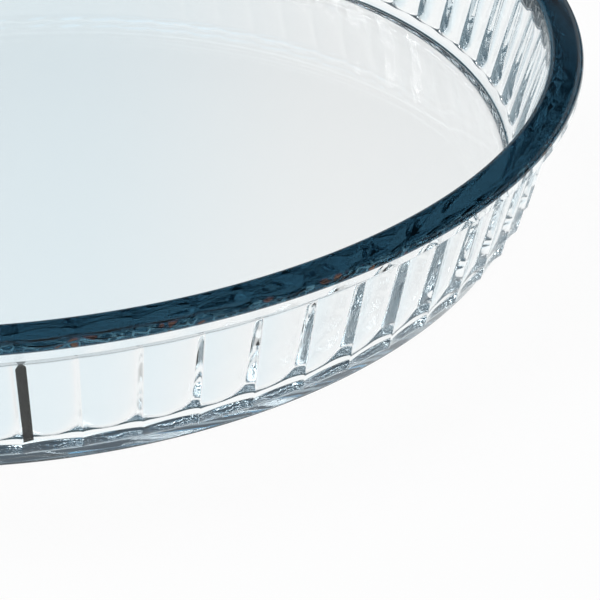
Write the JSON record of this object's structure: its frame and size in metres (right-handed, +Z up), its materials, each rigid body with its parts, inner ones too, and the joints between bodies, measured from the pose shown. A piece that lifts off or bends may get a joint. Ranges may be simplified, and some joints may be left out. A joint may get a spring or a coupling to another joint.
{
  "type": "pie dish",
  "caption": "Round clear glass pie dish with a wall fluted outside and faintly inside, a smooth collar rim, and a flat base with a low smooth foot.",
  "frame": {"origin": "middle of the flat base, level with the table that it rests on", "axes": "+Z up along the axis of the dish, towards its open mouth; +X through a ridge of the fluted wall"},
  "size_m": [0.28, 0.28, 0.036],
  "materials": {
    "clear_glass": "clear pressed glass with a faint blue-green tint, fire-polished and smooth, with fine seeds and light wear underneath"
  },
  "bodies": {
    "root": {"glass_dish": "clear_glass"}
  },
  "joints": []
}
